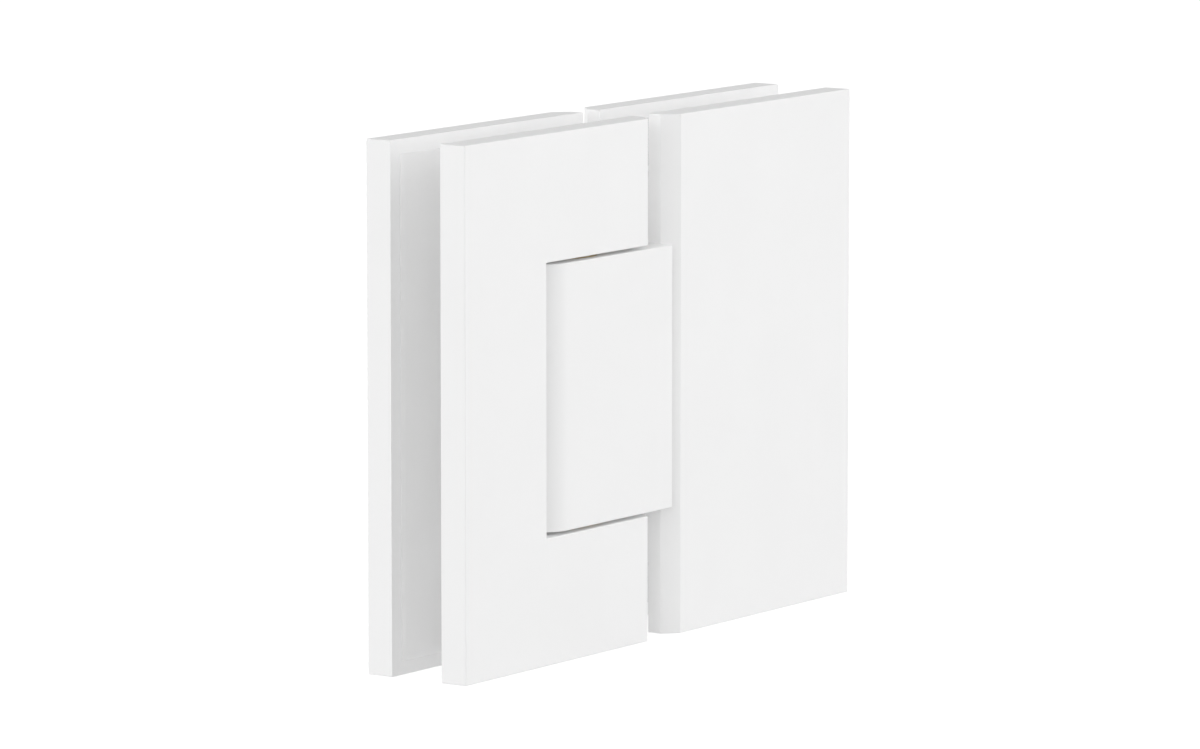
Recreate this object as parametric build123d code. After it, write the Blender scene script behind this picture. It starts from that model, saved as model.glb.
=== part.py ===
from build123d import *
import os
from math import hypot

# Glass-to-glass shower hinge. The door leaf, on the left, swings about an upright pin in the pivot
# block; the panel leaf, on the right, carries that block and stays still. Each leaf is a front and
# a back plate that clamp a glass pane between two soft gaskets, over a cut-out in the pane's edge.
# X runs along the glass, Y through it (the plain front is at -Y) and Z up. The origin is the centre
# of the gap between the leaves, at mid height and mid thickness. All sizes are in millimetres.

# Glass that the leaves clamp, and the cut-out in its edge
glass_thickness = 8.0
glass_cutout_depth = 39.0
glass_cutout_radius = 6.0
glass_clearance = 1.0

# Clamp plates
plate_height = 90.0
plate_width = 55.7
plate_thickness = 5.0
leaf_gap = 5.0
corner_chamfer = 2.5
edge_round = 0.2

# Gaskets
gasket_thickness = 1.1
gasket_inset = 2.5

# Notch in the door plates, and the pivot block that stands in it
notch_depth = 32.4
notch_height = 46.6
block_clearance = 0.6
nose_clearance = 1.1
nose_radius = 5.0
tongue_neck_step = 0.5
tongue_ear_start = 2.0
lug_height = 9.9
lug_end_step = 2.0

# Pin, its bushes and the two detent leaves that press on its flats
pin_offset = 19.5
pin_diameter = 11.0
pin_flat_width = 9.0
journal_diameter = 7.0
journal_length = 8.2
journal_flat_depth = 0.3
journal_flat_length = 6.0
bush_diameter = 16.0
bush_length = 8.0
saddle_length = 3.0
saddle_width = 10.0
leaf_thickness = 1.2
leaf_width = 8.0
leaf_corner = 1.0
washer_diameter = 15.0
washer_chamfer = 0.1

# Countersunk clamp screws, sunk tongue screws and the two kinds of grub screw
screw_diameter = 5.0
screw_head_diameter = 10.0
screw_head_sink = 0.1
screw_key = 3.0
screw_key_depth = 2.3
clamp_screw_length = 12.0
clamp_screw_near = 8.5
clamp_screw_inset = 5.5
clamp_screw_rise = 6.0
tongue_screw_length = 12.0
tongue_screw_sink = 2.0
tongue_screw_near = 10.0
tongue_screw_inset = 9.0
tongue_screw_height = 26.0
blind_hole_depth = 4.0
pin_lock_diameter = 5.0
pin_lock_length = 6.0
pin_lock_inset = 2.9
pin_lock_key = 2.5
pin_lock_key_depth = 2.4
bush_lock_diameter = 4.0
bush_lock_length = 3.0
bush_lock_depth = 1.3
bush_lock_key = 2.0
bush_lock_key_depth = 1.6

# Fits, each a gap on one side
running_fit = 0.05
seat_fit = 0.02
thread_play = 0.05
hole_play = 0.15
washer_play = 0.1
leaf_play = 0.1

# Places that follow from the sizes above
slot_half = glass_thickness / 2 + gasket_thickness
outer_half = slot_half + plate_thickness
plate_half = plate_height / 2
leaf_start = leaf_gap / 2
leaf_end = leaf_start + plate_width
notch_wall = -(leaf_start + notch_depth)
notch_half = notch_height / 2
block_half = notch_half - block_clearance
nose_end = notch_wall + nose_clearance
metal_half = notch_half + lug_height
metal_corner = glass_cutout_radius - glass_clearance
cutout_half = metal_half + glass_clearance
cutout_end = leaf_start + glass_cutout_depth
metal_end = cutout_end - glass_clearance
pin_x = -pin_offset
pin_radius = pin_diameter / 2
journal_end = block_half + journal_length
bush_start = block_half - bush_length
leaf_face = pin_flat_width / 2 + seat_fit
saddle_face = leaf_face + leaf_thickness
washer_bore = journal_diameter + 2 * hole_play
clamp_screw_x = (leaf_start + clamp_screw_near, metal_end - clamp_screw_inset)
clamp_screw_z = notch_half + clamp_screw_rise
tongue_screw_x = (leaf_start + tongue_screw_near, metal_end - tongue_screw_inset)
lug_screw_places = [(-x, z * clamp_screw_z) for x in clamp_screw_x for z in (-1, 1)]
tongue_clamp_places = [(x, z * clamp_screw_z) for x in clamp_screw_x for z in (-1, 1)]
tongue_screw_places = [(x, z * tongue_screw_height / 2) for x in tongue_screw_x for z in (-1, 1)]
pin_lock_places = [(pin_x, z * (journal_end - pin_lock_inset)) for z in (-1, 1)]
bush_lock_places = [(pin_x, z * (bush_start + bush_length / 2)) for z in (-1, 1)]


def block_between(x0, x1, y0, y1, z0, z1):
    """A box given by its lowest and highest corners."""
    middle = Pos((x0 + x1) / 2, (y0 + y1) / 2, (z0 + z1) / 2)
    return middle * Box(x1 - x0, y1 - y0, z1 - z0)


def upright(radius, x, z0, z1):
    """A cylinder along Z, centred on y = 0."""
    return Pos(x, 0, z0) * Cylinder(radius, z1 - z0, align=(Align.CENTER, Align.CENTER, Align.MIN))


def across(radius, x, z, y_back, depth):
    """A cylinder along Y that starts at y_back and runs forwards, towards -Y."""
    start = Plane(origin=(x, y_back, z), z_dir=(0, -1, 0))
    return start * Cylinder(radius, depth, align=(Align.CENTER, Align.CENTER, Align.MIN))


def drill(body, radius, places, y_back, depth):
    """The body with a plain hole along Y at each place."""
    for x, z in places:
        body -= across(radius, x, z, y_back, depth)
    return body


def countersink(body, places, y_back):
    """The body with a countersink that seats one screw head below y_back at each place."""
    reach = screw_head_diameter / 2 + hole_play
    for x, z in places:
        start = Plane(origin=(x, y_back, z), z_dir=(0, -1, 0))
        cone = Cone(reach, 0.0, reach, align=(Align.CENTER, Align.CENTER, Align.MIN))
        body -= start * cone
    return body


def countersunk_screw(x, z, y_head, length):
    """A countersunk screw with a hexagon socket; y_head is its flat top and it points to -Y."""
    shank = screw_diameter / 2 - thread_play
    tip = shank / 4
    outline = Polyline(
        (0, 0),
        (screw_head_diameter / 2, 0),
        (shank, -(screw_head_diameter / 2 - shank)),
        (shank, -length + tip),
        (shank - tip, -length),
        (0, -length),
        close=True,
    )
    turned = revolve(Plane.XZ * make_face(outline), Axis.Z)
    socket = Pos(0, 0, -screw_key_depth) * extrude(hexagon(screw_key), screw_key_depth)
    return Plane(origin=(x, y_head, z), z_dir=(0, 1, 0)) * (turned - socket)


def grub_screw(x, z, y_back, length, diameter, key, key_depth):
    """A headless screw with a hexagon socket at its back end; its cup end points to -Y."""
    radius = diameter / 2 - thread_play
    tip = radius / 3
    outline = Polyline(
        (0, 0),
        (radius - tip / 2, 0),
        (radius, -tip / 2),
        (radius, -length + tip),
        (radius - tip, -length),
        (0, -length),
        close=True,
    )
    turned = revolve(Plane.XZ * make_face(outline), Axis.Z)
    socket = Pos(0, 0, -key_depth) * extrude(hexagon(key), key_depth)
    return Plane(origin=(x, y_back, z), z_dir=(0, 1, 0)) * (turned - socket)


def hexagon(across_flats):
    """A hexagon for a socket, by the size of its key."""
    return RegularPolygon(across_flats / 2, 6, major_radius=False)


def group(pieces):
    """Separate like solids as one compound."""
    return Compound(children=list(pieces))


def plate_blank(side, face):
    """A clamp plate: side is -1 for the door leaf and 1 for the panel leaf, face -1 in front."""
    points = [
        (side * leaf_start, face * slot_half),
        (side * leaf_end, face * slot_half),
        (side * leaf_end, face * outer_half),
        (side * (leaf_start + corner_chamfer), face * outer_half),
        (side * leaf_start, face * (outer_half - corner_chamfer)),
    ]
    outline = make_face(Polyline(*points, close=True))
    return Pos(0, 0, -plate_half) * extrude(outline, plate_height, dir=(0, 0, 1))


def soften(plate, face):
    """The plate with every edge rounded that the coated outer side shows."""
    shown = plate.edges().filter_by(lambda e: face * e.center().Y > slot_half + edge_round)
    return fillet(shown, edge_round)


def notch_space():
    """The space of the notch in the door plates, open towards the gap between the leaves."""
    return block_between(notch_wall, 0, -2 * outer_half, 2 * outer_half, -notch_half, notch_half)


def cutout_outline(side, depth, half, radius, start):
    """A rounded outline in XZ of what lies inside the glass cut-out, from start to depth."""
    length = depth - start
    rounded = RectangleRounded(2 * length, 2 * half, radius)
    far_side = Pos(side * length / 2, 0) * Rectangle(length, 2 * half)
    return Plane.XZ * (Pos(side * start, 0) * (rounded & far_side))


def lug(up):
    """The pivot lug on the front door plate, above the block (up = 1) or below it (up = -1)."""
    start = leaf_start + lug_end_step
    outline = cutout_outline(-1, metal_end, metal_half, metal_corner, start)
    body = extrude(outline, slot_half, both=True)
    body &= block_between(-metal_end, 0, -slot_half, slot_half, notch_half, metal_half)
    return body if up > 0 else mirror(body, about=Plane.XY)


def pin_cradles():
    """The round-bottomed slots, open to the back, that the pin's ends are laid in."""
    end = journal_end + hole_play
    radius = journal_diameter / 2 + seat_fit
    way_in = block_between(pin_x - radius, pin_x + radius, 0, slot_half, -end, end)
    return upright(radius, pin_x, -end, end) + way_in


def door_front_plate():
    """The plain front plate of the door leaf, with the two lugs that hold the pin's ends."""
    plate = soften(plate_blank(-1, -1) - notch_space(), -1)
    for up in (-1, 1):
        plate += lug(up)
    plate -= pin_cradles()
    return drill(plate, screw_diameter / 2, lug_screw_places, slot_half, clamp_screw_length)


def door_back_plate():
    """The back plate of the door leaf, countersunk for its clamp screws."""
    plate = soften(plate_blank(-1, 1) - notch_space(), 1)
    plate = drill(plate, screw_diameter / 2 + hole_play, lug_screw_places, outer_half, plate_thickness)
    plate = countersink(plate, lug_screw_places, outer_half)
    return drill(plate, pin_lock_diameter / 2, pin_lock_places, outer_half, plate_thickness)


def panel_front_plate():
    """The plain front plate of the panel leaf, with blind holes for the tongue screws."""
    plate = soften(plate_blank(1, -1), -1)
    return drill(plate, screw_diameter / 2, tongue_screw_places, -slot_half, blind_hole_depth)


def panel_back_plate():
    """The back plate of the panel leaf, countersunk for its clamp screws."""
    plate = soften(plate_blank(1, 1), 1)
    plate = drill(plate, screw_diameter / 2 + hole_play, tongue_clamp_places, outer_half, plate_thickness)
    return countersink(plate, tongue_clamp_places, outer_half)


def gasket(side, face):
    """A flat gasket between a plate and the glass, cut out as the glass is."""
    start, end = leaf_start + gasket_inset, leaf_end - gasket_inset
    high = plate_half - gasket_inset
    sheet = Pos(side * (start + end) / 2, 0) * Rectangle(end - start, 2 * high)
    hole = cutout_outline(side, cutout_end, cutout_half, glass_cutout_radius, 0)
    outline = Plane.XZ * sheet - hole
    skin = extrude(outline, gasket_thickness, dir=(0, 1, 0))
    inner = glass_thickness / 2
    return Pos(0, inner if face > 0 else -inner - gasket_thickness, 0) * skin


def pivot_block():
    """The block that turns on the pin, in one piece with the tongue between the panel plates."""
    body = block_between(nose_end, leaf_start, -outer_half, outer_half, -block_half, block_half)
    nose = body.edges().filter_by(Axis.Z).group_by(Axis.X)[0]
    body = fillet(nose, nose_radius)
    rims = body.edges().filter_by(lambda e: abs(e.center().Z) > block_half - edge_round)
    corners = body.edges().filter_by(Axis.Z).group_by(Axis.X)[-1]
    body = fillet(rims + corners, edge_round)
    neck_half = block_half - tongue_neck_step
    neck_end = leaf_start + tongue_ear_start + metal_corner
    neck = block_between(0, neck_end, -slot_half, slot_half, -neck_half, neck_half)
    ears = cutout_outline(1, metal_end, metal_half, metal_corner, leaf_start + tongue_ear_start)
    body += neck
    body += extrude(ears, slot_half, both=True)
    body -= upright(bush_diameter / 2 + seat_fit, pin_x, -block_half, block_half)
    body = drill(body, screw_diameter / 2, tongue_clamp_places, slot_half, clamp_screw_length)
    body = drill(body, screw_diameter / 2 + hole_play, tongue_screw_places, slot_half, 2 * slot_half)
    sink = screw_head_diameter / 2 + hole_play
    body = drill(body, sink, tongue_screw_places, slot_half, tongue_screw_sink)
    body = countersink(body, tongue_screw_places, slot_half - tongue_screw_sink)
    return drill(body, bush_lock_diameter / 2, bush_lock_places, outer_half, outer_half)


def hinge_pin():
    """The pin: a journal at each end for the lugs, round in the bushes and square between them."""
    pin = upright(pin_radius, pin_x, -block_half, block_half)
    half = pin_flat_width / 2
    square = block_between(pin_x - half, pin_x + half, -half, half, -bush_start, bush_start)
    pin -= upright(pin_radius + edge_round, pin_x, -bush_start, bush_start) - square
    pin += upright(journal_diameter / 2, pin_x, -journal_end, journal_end)
    flat_face = journal_diameter / 2 - journal_flat_depth
    for x, z in pin_lock_places:
        low, high = z - journal_flat_length / 2, z + journal_flat_length / 2
        pin -= block_between(x - pin_radius, x + pin_radius, flat_face, pin_radius, low, high)
    return pin


def bush(up):
    """A pivot bush, with two saddles at its inner end that hold the ends of the detent leaves."""
    outer = bush_diameter / 2
    west, east = pin_x - outer, pin_x + outer
    half = saddle_width / 2
    inner_end = bush_start - saddle_length
    saddles = block_between(west, east, -half, half, inner_end, bush_start)
    saddles -= block_between(pin_x - saddle_face, pin_x + saddle_face, -outer, outer, inner_end, bush_start)
    above = block_between(west, east, -outer, outer, bush_start, block_half)
    body = upright(outer, pin_x, inner_end, block_half) & (above + saddles)
    body -= upright(pin_radius + running_fit, pin_x, inner_end, block_half)
    x, z = bush_lock_places[1]
    dimple = across(bush_lock_diameter / 2, x, z, outer, bush_lock_depth + seat_fit)
    body -= dimple
    return body if up > 0 else mirror(body, about=Plane.XY)


def detent_leaf(side):
    """A flat spring leaf that presses on one flat of the pin, between the two bushes."""
    half = bush_start - leaf_play
    near, far = pin_x + side * leaf_face, pin_x + side * saddle_face
    leaf = block_between(min(near, far), max(near, far), -leaf_width / 2, leaf_width / 2, -half, half)
    return fillet(leaf.edges().filter_by(Axis.X), leaf_corner)


def thrust_washer(z0, z1):
    """A washer on a pin journal, between a lug and the block."""
    washer = upright(washer_diameter / 2, pin_x, z0, z1) - upright(washer_bore / 2, pin_x, z0, z1)
    rim = washer.edges().filter_by(GeomType.CIRCLE).sort_by(SortBy.RADIUS)[-2:]
    return chamfer(rim, washer_chamfer)


def clamp_screws(places):
    """The countersunk screws that pull a back plate on to its lugs or tongue."""
    head = outer_half - screw_head_sink
    return group(countersunk_screw(x, z, head, clamp_screw_length - screw_head_sink) for x, z in places)


def tongue_screws():
    """The screws, sunk in the tongue, that hold the plain front panel plate."""
    head = slot_half - tongue_screw_sink - screw_head_sink
    length = tongue_screw_length - screw_head_sink
    return group(countersunk_screw(x, z, head, length) for x, z in tongue_screw_places)


def pin_lock_screws():
    """The grub screws in the back door plate that lock the pin in its lugs."""
    back = journal_diameter / 2 - journal_flat_depth + pin_lock_length
    return group(
        grub_screw(x, z, back, pin_lock_length, pin_lock_diameter, pin_lock_key, pin_lock_key_depth)
        for x, z in pin_lock_places
    )


def bush_lock_screws():
    """The grub screws in the back of the block that keep the bushes from turning."""
    back = bush_diameter / 2 - bush_lock_depth + bush_lock_length
    return group(
        grub_screw(x, z, back, bush_lock_length, bush_lock_diameter, bush_lock_key, bush_lock_key_depth)
        for x, z in bush_lock_places
    )


def nodes():
    """Every node of the hinge by name."""
    return {
        "door_front_plate": door_front_plate(),
        "door_back_plate": door_back_plate(),
        "door_front_gasket": gasket(-1, -1),
        "door_back_gasket": gasket(-1, 1),
        "door_clamp_screws": clamp_screws(lug_screw_places),
        "hinge_pin": hinge_pin(),
        "pin_lock_screws": pin_lock_screws(),
        "lower_thrust_washer": thrust_washer(-notch_half, -block_half - washer_play),
        "pivot_block": pivot_block(),
        "panel_front_plate": panel_front_plate(),
        "panel_back_plate": panel_back_plate(),
        "panel_front_gasket": gasket(1, -1),
        "panel_back_gasket": gasket(1, 1),
        "panel_clamp_screws": clamp_screws(tongue_clamp_places),
        "tongue_screws": tongue_screws(),
        "upper_bush": bush(1),
        "lower_bush": bush(-1),
        "left_detent_leaf": detent_leaf(-1),
        "right_detent_leaf": detent_leaf(1),
        "bush_lock_screws": bush_lock_screws(),
        "upper_thrust_washer": thrust_washer(block_half, notch_half),
    }


os.makedirs("parts", exist_ok=True)
for name, shape in nodes().items():
    export_step(shape, f"parts/{name}.step")

# The nose of the block must pass inside the notch wall as the door leaf turns about the pin
nose_reach = hypot(nose_end + nose_radius - pin_x, outer_half - nose_radius) + nose_radius
wall_reach = hypot(notch_wall - pin_x, slot_half)
print(f"nose swings clear of the notch wall by {wall_reach - nose_reach:.2f} mm")
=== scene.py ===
# Looks of the glass-to-glass shower hinge. The coated plates stay as the frame holds them and take their
# finish here. The pivot block, the gaskets and all the small metal pieces are modelled anew in the same
# places, with the thread turns, sockets, rounded rims and turning marks that the plain solids leave out.

import logging
import math
from collections.abc import Callable, Sequence
from dataclasses import dataclass
from enum import Enum
from functools import cache

import bpy
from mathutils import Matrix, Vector


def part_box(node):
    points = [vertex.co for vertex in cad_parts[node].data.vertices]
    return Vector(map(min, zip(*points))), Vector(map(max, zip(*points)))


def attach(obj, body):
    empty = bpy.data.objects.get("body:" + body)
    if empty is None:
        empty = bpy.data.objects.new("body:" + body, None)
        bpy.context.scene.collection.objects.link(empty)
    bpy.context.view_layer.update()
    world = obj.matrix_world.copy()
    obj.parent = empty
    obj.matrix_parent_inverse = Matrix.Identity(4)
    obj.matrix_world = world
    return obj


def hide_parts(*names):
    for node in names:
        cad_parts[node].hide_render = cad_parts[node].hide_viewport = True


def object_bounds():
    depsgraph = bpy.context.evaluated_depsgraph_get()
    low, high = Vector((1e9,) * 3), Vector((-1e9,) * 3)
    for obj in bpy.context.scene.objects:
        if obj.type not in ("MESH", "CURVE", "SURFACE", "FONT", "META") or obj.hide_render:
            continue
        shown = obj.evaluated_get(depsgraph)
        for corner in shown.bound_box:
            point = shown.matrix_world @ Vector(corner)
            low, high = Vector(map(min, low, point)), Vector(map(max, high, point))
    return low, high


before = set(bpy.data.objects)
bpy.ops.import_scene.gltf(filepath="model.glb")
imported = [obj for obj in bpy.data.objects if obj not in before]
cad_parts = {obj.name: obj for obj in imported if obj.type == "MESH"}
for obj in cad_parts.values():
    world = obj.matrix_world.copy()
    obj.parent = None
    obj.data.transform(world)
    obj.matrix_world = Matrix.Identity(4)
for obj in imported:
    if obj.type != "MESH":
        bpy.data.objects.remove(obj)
cad_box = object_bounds()

MM = 0.001
WELD = 0.0005 * MM
SMOOTH_BELOW = math.radians(32)
WHITE = (1.0, 1.0, 1.0, 1.0)
log = logging.getLogger("shower_hinge")

# How far a cutter reaches past the surface it cuts.
PAST = 1.0 * MM

# Faces round a bore, pin or washer, round a screw, round a sunk hole and round a small hole.
BORE_STEPS = 96
SCREW_STEPS = 72
SINK_STEPS = 48
HOLE_STEPS = 40

# One tooth of a thread in shares of its pitch: its depth, start and end of its crest, start of its root.
THREAD_DEPTH = 0.6
CREST_START, CREST_END, ROOT_START = 0.40, 0.52, 0.92
THREAD_STEPS = 36
SPARE_TURNS = 2

# Width of a countersunk head in the frame, from which the places of such screws are read.
HEAD_WIDTH = 10.0 * MM

Point = tuple[float, float]
Colour = tuple[float, float, float]
Piece = bpy.types.Object
Node = bpy.types.Node
Socket = bpy.types.NodeSocket
Tree = bpy.types.NodeTree


class Leaf(Enum):
    """The two bodies of the hinge."""

    DOOR = "door_leaf"
    PANEL = "panel_leaf"


class Axis(Enum):
    """A direction along which a round tool or a turned piece stands."""

    Y = (-math.pi / 2, 0.0, 0.0)
    Z = (0.0, 0.0, 0.0)


def thread_root(crest: float, pitch: float) -> float:
    """Works out the radius at the root of a thread from the radius over it."""
    return crest - THREAD_DEPTH * pitch


class Bench:
    """The modelling steps that the new pieces are made with."""

    @staticmethod
    def take(piece: Piece) -> Piece:
        """Selects one piece alone and makes it active.

        Args:
            piece: The object to work on.

        Returns:
            The same object.
        """
        bpy.ops.object.select_all(action="DESELECT")
        piece.select_set(True)
        bpy.context.view_layer.objects.active = piece
        return piece

    @staticmethod
    def settle(piece: Piece) -> Piece:
        """Puts the piece's place, turn and scale into its mesh.

        Args:
            piece: The object to settle.

        Returns:
            The same object, at the origin.
        """
        Bench.take(piece)
        bpy.ops.object.transform_apply(location=True, rotation=True, scale=True)
        return piece

    @staticmethod
    def block(name: str, low: Sequence[float], high: Sequence[float]) -> Piece:
        """Adds a box between two corners.

        Args:
            name: Name of the new object.
            low: Lowest corner, in metres.
            high: Highest corner, in metres.

        Returns:
            The new object.
        """
        bpy.ops.object.select_all(action="DESELECT")
        middle = (Vector(low) + Vector(high)) / 2
        bpy.ops.mesh.primitive_cube_add(size=1, location=middle, scale=Vector(high) - Vector(low))
        piece = bpy.context.object
        piece.name = name
        return Bench.settle(piece)

    @staticmethod
    def profile(name: str, outline: Sequence[Point]) -> Piece:
        """Draws an open line in the XZ plane, one extruded vertex after another.

        Args:
            name: Name of the new object.
            outline: Radius and height of each point, in metres.

        Returns:
            The new object, in edit mode, with all of it selected.
        """
        bpy.ops.object.select_all(action="DESELECT")
        bpy.ops.mesh.primitive_plane_add(size=MM)
        piece = bpy.context.object
        piece.name = name
        bpy.ops.object.mode_set(mode="EDIT")
        bpy.ops.mesh.select_mode(type="VERT")
        bpy.ops.mesh.select_all(action="SELECT")
        bpy.ops.mesh.merge(type="CENTER")
        bpy.ops.transform.translate(value=(outline[0][0], 0, outline[0][1]))
        for (r0, z0), (r1, z1) in zip(outline, outline[1:]):
            bpy.ops.mesh.extrude_region_move(TRANSFORM_OT_translate={"value": (r1 - r0, 0, z1 - z0)})
        bpy.ops.mesh.select_all(action="SELECT")
        return piece

    @staticmethod
    def close_up() -> None:
        """Welds the doubles of the mesh in edit mode and turns its faces outwards."""
        bpy.ops.mesh.select_all(action="SELECT")
        bpy.ops.mesh.remove_doubles(threshold=WELD)
        bpy.ops.mesh.normals_make_consistent(inside=False)
        bpy.ops.object.mode_set(mode="OBJECT")

    @staticmethod
    def turned(name: str, outline: Sequence[Point], steps: int = SCREW_STEPS) -> Piece:
        """Spins an outline about Z, as on a lathe.

        Args:
            name: Name of the new object.
            outline: Radius and height of each point; a closed outline ends where it starts.
            steps: Faces round the piece.

        Returns:
            The new object, closed, with its axis on Z.
        """
        piece = Bench.profile(name, outline)
        bpy.ops.mesh.spin(steps=steps, angle=2 * math.pi, center=(0, 0, 0), axis=(0, 0, 1))
        Bench.close_up()
        return piece

    @staticmethod
    def drill(radius: float, top: float, bottom: float) -> Piece:
        """Turns a plain round cutter about Z, from one height down to another."""
        return Bench.turned("drill", [(0, top), (radius, top), (radius, bottom), (0, bottom)], HOLE_STEPS)

    @staticmethod
    def threaded(name: str, crest: float, pitch: float, top: float, bottom: float) -> Piece:
        """Winds one tooth of a thread about Z and trims both ends square.

        Args:
            name: Name of the new object.
            crest: Radius over the thread, in metres.
            pitch: Rise of one turn, in metres.
            top: Height of the upper end.
            bottom: Height of the lower end.

        Returns:
            The new object, closed.
        """
        root = thread_root(crest, pitch)
        start = bottom - SPARE_TURNS * pitch
        tooth = [(root, 0.0), (crest, CREST_START), (crest, CREST_END), (root, ROOT_START), (root, 1.0)]
        piece = Bench.profile(name, [(r, start + share * pitch) for r, share in tooth])
        bpy.ops.object.mode_set(mode="OBJECT")
        helix = piece.modifiers.new("helix", "SCREW")
        helix.axis = "Z"
        helix.angle = 2 * math.pi
        helix.screw_offset = pitch
        helix.iterations = math.ceil((top - bottom) / pitch) + 2 * SPARE_TURNS
        helix.steps = helix.render_steps = THREAD_STEPS
        Bench.take(piece)
        bpy.ops.object.modifier_apply(modifier=helix.name)
        Bench.merge_slivers(piece, WELD)
        bpy.ops.object.mode_set(mode="EDIT")
        for height, side in ((bottom, -1), (top, 1)):
            bpy.ops.mesh.select_all(action="SELECT")
            bpy.ops.mesh.bisect(
                plane_co=(0, 0, height), plane_no=(0, 0, side),
                use_fill=True, clear_outer=True, threshold=WELD,
            )
        Bench.close_up()
        return piece

    @staticmethod
    def combine(piece: Piece, kind: str, *tools: Piece) -> Piece:
        """Cuts, fuses or trims a piece with other solids, which are used up.

        Args:
            piece: The piece that is kept.
            kind: DIFFERENCE, UNION or INTERSECT.
            tools: The closed solids to combine it with, one after another.

        Returns:
            The piece.
        """
        for tool in tools:
            step = piece.modifiers.new("combine", "BOOLEAN")
            step.operation = kind
            step.solver = "EXACT"
            step.object = tool
            Bench.take(piece)
            bpy.ops.object.modifier_apply(modifier=step.name)
            bpy.data.objects.remove(tool)
        return piece

    @staticmethod
    def merge_slivers(piece: Piece, width: float) -> Piece:
        """Merges the points of a piece that a cut has left closer together than a width."""
        Bench.take(piece)
        bpy.ops.object.mode_set(mode="EDIT")
        bpy.ops.mesh.select_all(action="SELECT")
        bpy.ops.mesh.remove_doubles(threshold=width)
        bpy.ops.object.mode_set(mode="OBJECT")
        return piece

    @staticmethod
    def soften(piece: Piece, radius: float, segments: int, wanted: Callable[[Vector, Vector], bool]) -> Piece:
        """Rounds the edges that a test picks by their two ends.

        Args:
            piece: The piece to round.
            radius: Radius of the rounding, in metres.
            segments: Faces across the rounding.
            wanted: Says yes to an edge, given both its ends.

        Returns:
            The piece.
        """
        Bench.take(piece)
        mesh = piece.data
        bpy.ops.object.mode_set(mode="EDIT")
        bpy.ops.mesh.select_mode(type="EDGE")
        bpy.ops.mesh.select_all(action="DESELECT")
        bpy.ops.object.mode_set(mode="OBJECT")
        for edge in mesh.edges:
            a, b = (mesh.vertices[i].co for i in edge.vertices)
            edge.select = wanted(a, b)
        bpy.ops.object.mode_set(mode="EDIT")
        bpy.ops.mesh.bevel(offset=radius, segments=segments, affect="EDGES", clamp_overlap=True)
        bpy.ops.object.mode_set(mode="OBJECT")
        return piece

    @staticmethod
    def break_edges(piece: Piece, width: float) -> Piece:
        """Rounds every sharp edge of a piece a little, with a bevel modifier that is then applied."""
        bevel = piece.modifiers.new("broken_edges", "BEVEL")
        bevel.width = width
        bevel.segments = 2
        bevel.limit_method = "ANGLE"
        bevel.angle_limit = SMOOTH_BELOW
        Bench.take(piece)
        bpy.ops.object.modifier_apply(modifier=bevel.name)
        return piece

    @staticmethod
    def place(piece: Piece, spot: Sequence[float], axis: Axis, turn: float = 0.0) -> Piece:
        """Stands a piece that was made about Z at its spot in the frame.

        Args:
            piece: The piece, with its own origin at its head.
            spot: Where that origin goes, in metres.
            axis: The frame's direction that its own Z points along.
            turn: Angle about its own axis, in radians.

        Returns:
            The piece.
        """
        piece.rotation_euler = (0.0, 0.0, turn)
        Bench.settle(piece)
        piece.rotation_euler = axis.value
        piece.location = spot
        return Bench.settle(piece)

    @staticmethod
    def map_from_axis(piece: Piece) -> Piece:
        """Gives a turned piece a UV map of its distance from its axis, in millimetres, for turning marks."""
        mesh = piece.data
        layer = mesh.uv_layers.new(name="lathe")
        for loop in mesh.loops:
            spot = mesh.vertices[loop.vertex_index].co
            layer.data[loop.index].uv = (spot.x / MM, spot.y / MM)
        return piece

    @staticmethod
    def copy(master: Piece) -> Piece:
        """Copies a piece together with its mesh."""
        twin = master.copy()
        twin.data = master.data.copy()
        bpy.context.scene.collection.objects.link(twin)
        return twin

    @staticmethod
    def gather(name: str, pieces: Sequence[Piece]) -> Piece:
        """Joins like pieces into one object.

        Args:
            name: Name of the joined object.
            pieces: The pieces; the first one is kept.

        Returns:
            The joined object.
        """
        first = Bench.take(pieces[0])
        for piece in pieces[1:]:
            piece.select_set(True)
        bpy.ops.object.join()
        first.name = name
        first.data.name = name
        return first

    @staticmethod
    def smooth(piece: Piece) -> Piece:
        """Shades the round faces smoothly and keeps the sharp edges and the flat faces plain."""
        Bench.take(piece)
        bpy.ops.object.shade_smooth_by_angle(angle=SMOOTH_BELOW)
        flats = piece.modifiers.new("plain_flats", "WEIGHTED_NORMAL")
        flats.keep_sharp = True
        bpy.ops.object.modifier_apply(modifier=flats.name)
        return piece


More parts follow.
